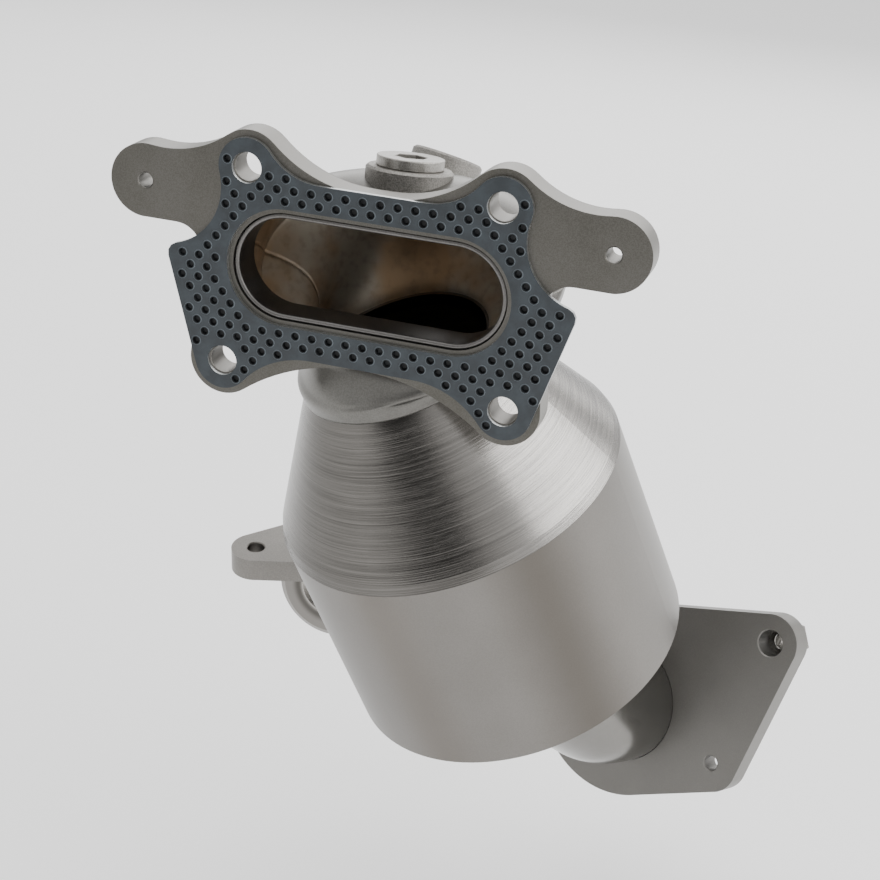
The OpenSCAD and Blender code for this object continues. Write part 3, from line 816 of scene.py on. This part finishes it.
    def build(self, *looks: Look) -> None:
        """Triangulates the face round its holes and pits, and joins it to the back.

        Args:
            looks: the finishes of the face, the cups (painted shade), the cut edge and the rims of the pits
                (painted highlight).
        """
        loops = [self.outline(), *self.holes()]
        pits = self.pits(loops)
        ring = heading(circle(self.pit_sides))
        rims = [c + self.pit_r * ring for c in pits]
        points = np.concatenate(loops + rims)
        edges, starts, at = [], [], 0
        for loop in loops + rims:
            k = np.arange(len(loop))
            edges += np.stack([at + k, at + (k + 1) % len(loop)], -1).tolist()
            starts.append(at)
            at += len(loop)
        verts, _, faces, origin, _, _ = delaunay_2d_cdt(points.tolist(), edges, [], 0, 1e-4)
        flat = np.array([tuple(v) for v in verts])
        place = {i: k for k, known in enumerate(origin) for i in known}
        tris = np.array([f for f in faces if len(f) == 3])
        centre = flat[tris].mean(1)
        solid = self.inside(centre, loops[0])
        for loop in loops[1:]:
            solid &= ~self.inside(centre, loop)
        tris, centre = tris[solid], centre[solid]
        reach = self.pit_r * math.cos(math.pi / self.pit_sides)
        in_pit = np.linalg.norm(centre[:, None] - pits[None], axis=2).min(1) < reach
        count = len(flat)
        front = np.stack([flat[:, 0], np.zeros(count), flat[:, 1]], -1)
        back = front + (0, self.thickness, 0)
        parts, out, kind = [front, back], tris[~in_pit].tolist(), [FACE] * int((~in_pit).sum())
        out += (tris[:, ::-1] + count).tolist()
        kind += [FACE] * len(tris)
        for loop, start in zip(loops, starts):
            k = [place[start + i] for i in range(len(loop))]
            out += [[i, j, j + count, i + count] for i, j in zip(k, k[1:] + k[:1])]
            kind += [EDGE] * len(k)
        at = 2 * count
        n = self.pit_sides
        for pit, start in zip(pits, starts[len(loops):]):
            last = [place[start + i] for i in range(n)]
            for depth, (r, y) in enumerate(self.pit_rings):
                xz = pit + r * ring
                parts.append(np.stack([xz[:, 0], np.full(n, y), xz[:, 1]], -1))
                new = list(range(at, at + n))
                out += [[last[i], last[(i + 1) % n], new[(i + 1) % n], new[i]] for i in range(n)]
                kind += [(RIM, FACE, CUP, CUP)[depth]] * n
                last, at = new, at + n
            out.append(last)
            kind.append(CUP)
        piece = add_piece("inlet_gasket_punched", np.concatenate(parts), out, 40)
        piece.data.polygons.foreach_set("material_index", kind)
        work = bmesh.new()
        work.from_mesh(piece.data)
        bmesh.ops.recalc_face_normals(work, faces=work.faces)
        work.to_mesh(piece.data)
        work.free()
        settle(piece, "inlet_gasket", ("inlet_gasket",), *looks)
        LOG.info("gasket pits: %d", len(pits))


@dataclass
class Plenum:
    """The pressed box between the port and the neck, in a rear and a front half.

    A section lies between a front point and a rear point of the middle plane.
    It is a stadium at the port, an ellipse on the way and a circle at the neck.
    """

    port_width: float = 93.0
    port_height: float = 36.0
    mouth: float = 2.1
    wall: float = 1.8
    flange_back: float = 11.5
    roof: float = 24.0
    right_reach: float = 59.5
    left_reach: float = 51.0
    left_dip: float = 3.5
    neck_r: float = 36.0
    cone_height: float = 52.0
    collar: float = 5.0
    front_pull: Point = (0, -1, -8)
    front_rise: Point = (0, 1.5, 12)
    roof_pull: Point = (0, 24, 8)
    roof_fall: Point = (0, 15, 10)
    stations: int = 16
    substeps: int = 5
    columns: int = 96
    corner_points: int = 60
    middle_points: int = 40
    bores: tuple[float, float] = (10.4, 9.6)
    bore_reach: float = 24.0

    def routes(self, t: np.ndarray) -> tuple[np.ndarray, np.ndarray]:
        """Finds the front and rear points of the middle plane.

        Args:
            t: how far along the way each section is, 0 to 1.

        Returns:
            Two arrays of points: B(t) of each route's four control points.
        """
        neck = CAN[:3, 3] + (self.cone_height + self.collar) * CAN[:3, 2]
        back = CAN[:3, 1] * self.neck_r
        half = self.port_height / 2 + self.mouth
        y0 = self.flange_back + WELD_GAP
        front = [np.array([0, y0, -half])]
        front += [front[0] + self.front_pull, neck - back + self.front_rise, neck - back]
        rear = [np.array([0, y0, half]), np.array([0, self.flange_back, self.roof]) + self.roof_pull,
                np.array([0, (neck + back)[1], self.roof]) + self.roof_fall, neck + back]
        w = np.stack([(1 - t) ** 3, 3 * (1 - t) ** 2 * t, 3 * (1 - t) * t ** 2, t ** 3], -1)
        return w @ np.array(front), w @ np.array(rear)

    def reach(self, t: np.ndarray, right: bool) -> np.ndarray:
        """Returns each section's half width: a sine rise to the widest, then a fall to the neck.

        The fall is sqrt(1 - u^5) on the right and (1 - u)^3 on the left, less a
        small sine there, where u runs from 0 at the widest section to 1 at the neck.
        """
        start = self.port_width / 2 + self.mouth
        widest = self.right_reach if right else self.left_reach
        rise = start + (widest - start) * np.sin(math.pi * t)
        u = np.clip(2 * t - 1, 0, 1)
        fall = self.neck_r + (widest - self.neck_r) * (np.sqrt(1 - u ** 5) if right else (1 - u) ** 3)
        fall -= 0 if right else self.left_dip * np.sin(math.pi * u)
        return np.where(t < 0.5, rise, fall)

    def half(self, lower: bool) -> np.ndarray:
        """Lays the rings of one half and smooths between them.

        Args:
            lower: whether it is the front half.

        Returns:
            A grid of rows along the way and columns round the section.
        """
        t = np.linspace(0, 1, self.stations + 1)
        f, r = self.routes(t)
        way = r - f
        h = np.linalg.norm(way, axis=1) / 2
        up = way / (2 * h[:, None])
        side = (1 - t)[:, None] * np.array([1.0, 0, 0]) + t[:, None] * CAN[:3, 0]
        side -= (side * up).sum(1, keepdims=True) * up
        side /= np.linalg.norm(side, axis=1, keepdims=True)
        corner, middle = self.corner_points, self.middle_points
        quarter = np.linspace(0, math.pi / 2, corner)
        a = np.concatenate([quarter, np.full(middle, math.pi / 2), math.pi / 2 + quarter])
        along = np.concatenate([np.ones(corner), np.linspace(1, -1, middle + 2)[1:-1], -np.ones(corner)])
        wide = np.where(along[None] > 0, self.reach(t, True)[:, None], self.reach(t, False)[:, None])
        flat = np.maximum(0, (wide - h[:, None]) * np.cos(math.pi * t)[:, None])
        x = flat * along + (wide - flat) * np.cos(a)
        z = h[:, None] * np.sin(a) * (-1 if lower else 1)
        mid = (f + r) / 2
        rings = mid[:, None] + x[..., None] * side[:, None] + z[..., None] * up[:, None]
        turned = -a if lower else a
        neck = around(CAN, self.neck_r, turned, self.cone_height + WELD_GAP)
        rings = np.concatenate([rings, neck[None]])
        return self.smooth(np.stack([self.even(ring) for ring in rings]))

    def even(self, ring: np.ndarray) -> np.ndarray:
        """Spaces a ring's points evenly by the length between them."""
        gap = np.linalg.norm(np.diff(ring, axis=0), axis=1)
        s = np.concatenate([[0], np.cumsum(gap)])
        new = np.linspace(0, s[-1], self.columns)
        return np.stack([np.interp(new, s, ring[:, k]) for k in range(3)], -1)

    def smooth(self, rings: np.ndarray) -> np.ndarray:
        """Runs a cubic curve through each column, with a slope of half the step past its neighbours."""
        before = np.concatenate([rings[:1], rings[:-1]])
        after = np.concatenate([rings[1:], rings[-1:]])
        slope = (after - before) / 2
        out = []
        for k in range(self.substeps):
            u = k / self.substeps
            out.append((2 * u ** 3 - 3 * u ** 2 + 1) * rings[:-1] + (u ** 3 - 2 * u ** 2 + u) * slope[:-1]
                       + (3 * u ** 2 - 2 * u ** 3) * rings[1:] + (u ** 3 - u ** 2) * slope[1:])
        rows = np.stack(out, 1).reshape(-1, *rings.shape[1:])
        return np.concatenate([rows, rings[-1:]])

    def open_faces(self, grid: np.ndarray, faces: list[list[int]]) -> list[list[int]]:
        """Leaves out the faces that would close the bore of a boss."""
        flat = grid.reshape(-1, 3)
        centre = flat[np.array(faces)].mean(1)
        keep = np.ones(len(faces), bool)
        for boss, bore in zip((FRONT_BOSS, REAR_BOSS), self.bores):
            local = carry(np.linalg.inv(boss), centre)
            keep &= (np.hypot(local[:, 0], local[:, 1]) > bore) | (np.abs(local[:, 2]) > self.bore_reach)
        return [face for face, kept in zip(faces, keep) if kept]

    def build(self, outer: Look, inner: Look) -> None:
        """Makes both halves as skins with a wall on the inside."""
        for lower, name in ((False, "plenum_rear_half"), (True, "plenum_front_half")):
            grid = self.half(lower)
            patch = Patch(grid, closed_cols=False, turned=not lower)
            faces = self.open_faces(grid, patch.faces()) if not lower else patch.faces()
            piece = add_piece(name + "_skin", grid, faces, 60)
            wall = piece.modifiers.new("wall", "SOLIDIFY")
            wall.thickness = self.wall * MM
            wall.offset = -1
            wall.material_offset = 1
            wall.material_offset_rim = 1
            settle(piece, name, (name,), outer, inner)


@dataclass
class Thread:
    """A ridge that winds round an axis, with a plain backing that closes it.

    Its radius is root + depth * tri(z / pitch - angle / turn), where tri is a
    triangle wave between 0 and 1 and depth is negative for a nut.
    """

    name: str
    place: np.ndarray
    root: float
    depth: float
    backing: float
    pitch: float
    low: float
    high: float
    sides: int = 64

    def build(self, slot: str, look: Look) -> None:
        """Makes the thread as one closed tube."""
        rows = max(8, int((self.high - self.low) / self.pitch * 8))
        z = np.linspace(self.low, self.high, rows)[:, None]
        a = circle(self.sides)[None]
        phase = (z / self.pitch - a / (2 * math.pi)) % 1.0
        fade = np.clip(np.minimum(z - self.low, self.high - z) / self.pitch * 2, 0, 1)
        r = self.root + self.depth * (1 - np.abs(2 * phase - 1)) * fade
        r = np.concatenate([r, np.full((2, self.sides), self.backing)])
        points = around(self.place, r, a, np.concatenate([z, [[self.high], [self.low]]]))
        patch = Patch(points, closed_rows=True, turned=self.backing < self.root)
        settle(add_piece(self.name, points, patch.faces(), 25), slot, (), look)


@dataclass
class BossSkirt:
    """The lower end of the rear boss, cut to the curve of the roof that it stands on.

    The roof's height round the boss is c0 + c1 sin a + c2 cos a + c3 cos 2a.
    """

    outer: float = 12.45
    inner: float = 9.3
    top: float = -10.6
    least: float = -11.2
    waves: tuple[float, float, float, float] = (-12.1, -6.7, 1.9, 2.0)
    sunk: float = 2.2
    sides: int = 72

    def build(self, look: Look) -> None:
        """Lays the outer wall down, the cut edge across and the inner wall up."""
        a = circle(self.sides)
        c0, c1, c2, c3 = self.waves
        roof = c0 + c1 * np.sin(a) + c2 * np.cos(a) + c3 * np.cos(2 * a)
        low = np.minimum(self.least, roof - self.sunk)
        top = np.full(self.sides, self.top)
        r = np.array([self.outer, self.outer, self.inner, self.inner])[:, None]
        points = around(REAR_BOSS, r, a, np.stack([top, low, low, top]))
        piece = add_piece("rear_boss_skirt", points, Patch(points, closed_rows=True, turned=True).faces())
        settle(piece, "rear_sensor_boss", (), look)


@dataclass
class OutletPipe:
    """The drawn outlet pipe: two bends in one plane, with a straight between."""

    radius: float = 25.4
    wall: float = 1.6
    inside: float = 6.0
    end: float = 40.3
    sides: int = 120
    lip: float = 0.5

    def bent(self, degrees: np.ndarray, p: np.ndarray) -> np.ndarray:
        """Carries points through one bend: a turn about Y at BEND_R from the axis.

        Args:
            degrees: the angle of each row.
            p: the grid of points before the bend.

        Returns:
            The grid after it.
        """
        a = np.radians(degrees)[:, None]
        c, s = np.cos(a), np.sin(a)
        return np.stack([BEND_R * (1 - c) + p[..., 0] * c - p[..., 2] * s, p[..., 1],
                         p[..., 0] * s + p[..., 2] * c - BEND_R * s], -1)

    def build(self, look: Look) -> None:
        """Carries the outer and inner circle along the way and joins their ends."""
        bend = np.linspace(0, 1, 15)
        steps = [(0.0, -PIPE_START - self.inside, 0.0, 0.0)]
        steps += [(FIRST_BEND * k, 0.0, 0.0, 0.0) for k in bend]
        steps += [(FIRST_BEND, PIPE_STRAIGHT * k, 0.0, 0.0) for k in np.linspace(0.1, 0.9, 8)]
        steps += [(FIRST_BEND, PIPE_STRAIGHT, SECOND_BEND * k, 0.0) for k in bend]
        way = (FIRST_BEND, PIPE_STRAIGHT, SECOND_BEND)
        last, bore = self.end - self.lip, self.radius - self.wall
        steps += [(*way, d) for d in (last * 0.3, last * 0.6, last)]
        rows = [(*step, self.radius) for step in steps]
        rows += [(*way, self.end, self.radius - self.lip), (*way, self.end, bore + self.lip)]
        rows = np.array(rows + [(*step, bore) for step in steps[::-1]])
        p = around(UPRIGHT, rows[:, 4:], circle(self.sides), -rows[:, 3:4])
        p = self.bent(rows[:, 2], p)
        p[..., 2] -= rows[:, 1:2]
        p = self.bent(rows[:, 0], p)
        p[..., 2] -= PIPE_START
        points = carry(ELBOW, p)
        patch = Patch(points, closed_rows=True, turned=True)
        piece = add_piece("outlet_pipe_drawn", points, patch.faces(), 40)
        settle(piece, "outlet_pipe", ("outlet_pipe",), look)


@dataclass
class Plug:
    """The plug in the front boss: a flat round head with a hex socket over a threaded shank."""

    head_r: float = 11.4
    head_h: float = 3.6
    edge: float = 0.5
    shank_r: float = 8.05
    shank_l: float = 14.5
    flats: float = 10.0
    socket: float = 6.0
    sides: int = 72

    def build(self, look: Look) -> None:
        """Turns the outside and sinks a six-sided socket into the head."""
        top = self.head_h
        root, low = self.shank_r - 0.5, -self.shank_l
        outside = [(root - 0.3, low), (root, low + 0.4), (root, -0.6), (root + 0.3, 0.0)]
        outside += [(self.head_r - 0.3, 0.0), (self.head_r, 0.3)]
        outside += rounded((self.head_r, 0.3), (self.head_r, top), (0, top), self.edge)
        outside += [(self.flats * 0.62, top)]
        a = circle(self.sides)
        sector = (a + math.pi / 6) % (math.pi / 3) - math.pi / 6
        hexagon = self.flats / 2 / np.cos(sector)
        rows = [np.full(self.sides, r) for r, _ in outside]
        rows += [hexagon + 0.15, hexagon, hexagon, hexagon * 0.2]
        heights = [z for _, z in outside] + [top, top - 0.2, top - self.socket, top - self.socket - 0.8]
        points = around(FRONT_BOSS, np.stack(rows), a, np.array(heights)[:, None])
        piece = add_piece("sensor_boss_plug_turned", points, Patch(points, capped=True).faces(), 32)
        settle(piece, "sensor_boss_plug", ("sensor_boss_plug",), look)


@dataclass
class StudioSet:
    """The floor, the dark card, the lights and the camera.

    The eye, the target, the lamps and the floor's height are in metres, and
    the floor's half side and the card's edges in millimetres.
    """

    eye: Point = (0.1845, -0.5557, 0.1860)
    axes: tuple[Point, ...] = ((0.9511, 0.2991, 0.0766), (-0.1809, 0.3390, 0.9232), (0.2502, -0.8920, 0.3766))
    lens: float = 78.52
    floor_z: float = -0.30
    floor_side: float = 8000.0
    card: tuple[float, ...] = (-1000.0, 800.0, -290.0, 520.0, -2000.0)
    target: Point = (0.02, 0.07, -0.1)
    lamps: tuple[tuple, ...] = (("right_softbox", (1.6, 0.15, 0.8), (2.6, 1.0), 30),
                                ("rear_softbox", (-0.1, 1.9, 0.75), (2.0, 0.9), 17),
                                ("top_softbox", (-0.1, 0.3, 1.7), (1.6, 1.6), 16))
    sky: float = 1.1

    def camera(self) -> None:
        """Sets the camera: its matrix columns are its axes and its place."""
        data = bpy.data.cameras.new("camera")
        data.lens = self.lens
        data.sensor_width = 36
        data.clip_start = 0.01
        camera = bpy.data.objects.new("camera", data)
        m = np.eye(4)
        m[:3] = np.column_stack([*self.axes, self.eye])
        camera.matrix_world = Matrix(m.tolist())
        bpy.context.scene.collection.objects.link(camera)
        bpy.context.scene.camera = camera

    def lamp(self, name: str, at: Point, size: tuple[float, float], power: float) -> None:
        """Adds a softbox of that width and height in metres, which faces the part."""
        data = bpy.data.lights.new(name, "AREA")
        data.shape = "RECTANGLE"
        data.size, data.size_y = size
        data.energy = power
        light = bpy.data.objects.new(name, data)
        z = np.array(at) - np.array(self.target)
        z /= np.linalg.norm(z)
        x = np.cross([0, 0, 1.0], z)
        x = x / np.linalg.norm(x) if np.linalg.norm(x) > 0.01 else np.array([1.0, 0, 0])
        m = np.eye(4)
        m[:3, 0], m[:3, 1], m[:3, 2], m[:3, 3] = x, np.cross(z, x), z, at
        light.matrix_world = Matrix(m.tolist())
        bpy.context.scene.collection.objects.link(light)

    def sheet(self, name: str, look: Look, corners: list[Point]) -> None:
        """Lays a flat sheet with four corners."""
        sheet = add_piece(name, np.array(corners), [[0, 1, 2, 3]])
        sheet.data.materials.append(look)

    def build(self) -> None:
        """Lays the floor, hangs the lights and sets the world.

        The card stands behind the camera, so that the faces towards it have
        something dark to mirror.
        """
        self.camera()
        side, low = self.floor_side, self.floor_z / MM
        self.sheet("floor", Shade("pale_floor").finish(tint("ffffff"), 0.9),
                   [(-side, -side, low), (side, -side, low), (side, side, low), (-side, side, low)])
        left, right, low, high, depth = self.card
        self.sheet("front_flag", Shade("dark_card").finish(tint("2a2a2a"), 0.95),
                   [(left, depth, low), (right, depth, low), (right, depth, high), (left, depth, high)])
        for lamp in self.lamps:
            self.lamp(*lamp)
        world = bpy.data.worlds.new("studio")
        world.use_nodes = True
        background = world.node_tree.nodes["Background"]
        background.inputs["Color"].default_value = (1, 1, 1, 1)
        background.inputs["Strength"].default_value = self.sky
        bpy.context.scene.world = world


def main() -> None:
    """Builds the pieces in order, dresses the CAD nodes and sets the studio."""
    logging.basicConfig(level=logging.INFO, format="%(name)s %(message)s")
    StudioSet().build()
    # the flange plate's sides carry a painted highlight
    plate = Steel("ground_plate", "57554f", "6a6864", 0.46, pitch=0.35, side_highlight=("8b8985", 0.0017, 0.0113))
    outlet_plate = Steel("ground_outlet_plate", "6b6965", "767470", 0.42, 0.03, pitch=0.3, metallic=0.55)
    rolled = Steel("rolled_sheet", "5f5d5a", "71706c", 0.36, 0.03, 0.000005)
    lip = Steel("rolled_lip", "5f5d5a", "737170", 0.36)
    # the turned cone and the satin shell carry painted reflection stripes
    turned = Steel("turned_cone", "53514e", "807d79", 0.25, 0.03, 0.00016, 0.45, Marks.TURNED, CAN,
                   CONE_REFLECTIONS, (0.047, 0.053))
    satin = Steel("satin_shell", "76736f", "7f7c78", 0.36, 0.02, 0.000002, axis=CAN,
                  reflection_bands=SHELL_REFLECTIONS).material()
    cast = Steel("cast_boss", "64625e", "a19e99", 0.5, 0.1, 0.00012, 0.5, Marks.CAST).material()
    plated = Steel("plated_plug", "76746f", "b3b0ab", 0.34, 0.1, 0.00005, 0.45, Marks.CAST)
    oxide = Steel("dark_thread", "2c2b2a", "4a4946", 0.42, pitch=0.4).material()
    drawn = Steel("drawn_pipe", "74726e", "7a7874", 0.2, 0.01, 0.0, 2.0, metallic=0.85)
    ring = Steel("turned_ring", "7b7874", "a5a29d", 0.34, 0.06, 0.00003, 0.4, Marks.TURNED, OUTLET)
    nut = Steel("bright_nut", "757370", "a8a59f", 0.3, pitch=0.6).material()
    bracket = Steel("satin_bracket", "6d6b67", "807d79", 0.4, 0.03)
    core = Steel("gasket_core_edge", "9c9fa0", "c9cbcb", 0.4)
    # painted shade: the cups of the pits are near black for the shade inside them
    cup = Graphite("pit_cup_shade", "0b0d0f", "1d2226")
    # painted highlight: the rims of the pits are lighter for the light that they catch
    rim_highlight = Facing("pit_rim_highlight", "454d53", "5e676d")
    seal = Fibre("wire_mesh_seal", "4a4846", "a09d98", 0.8).material()
    looks = {
        "inlet_flange": plate.material(), "front_sensor_boss": cast, "rear_sensor_boss": cast,
        "inlet_cone": turned.material(), "converter_shell": satin, "outlet_cone": satin,
        "support_mat": Fibre("support_mat_fibre", "bdb7a6", "efeadc").material(),
        "upper_mat_seal": seal, "lower_mat_seal": seal, "catalyst_brick": Honeycomb().material(),
        "outlet_flange": outlet_plate.material(), "outlet_weld_nut": nut,
        "outlet_steel_ring": ring.material(),
        "outlet_donut_gasket": Graphite("pressed_graphite", "242423", "63615e", OUTLET).material(),
        "side_bracket": bracket.material(), "stay_pad": PressedPad().material()}
    for node, look in looks.items():
        dress(node, look)

    Gasket().build(*(finish.material() for finish in (Facing(), cup, core, rim_highlight)))
    Sleeve().build(lip.material())
    Plenum().build(rolled.material(), HeatTint().material())
    Thread("rear_boss_thread", REAR_BOSS, 8.3, -0.6, 9.2, 1.5, -10.9, -1.0).build("rear_sensor_boss", oxide)
    BossSkirt().build(cast)
    Plug().build(plated.material())
    Thread("plug_thread", FRONT_BOSS, 7.3, 0.8, 6.6, 1.5, -14.3, -0.5).build("sensor_boss_plug", oxide)
    OutletPipe().build(drawn.material())
    Thread("weld_nut_thread", WELD_NUT, 3.5, -0.4, 4.6, 1.25, -7.8, -1.3, 48).build("outlet_weld_nut", nut)


if __name__ == "__main__":
    main()
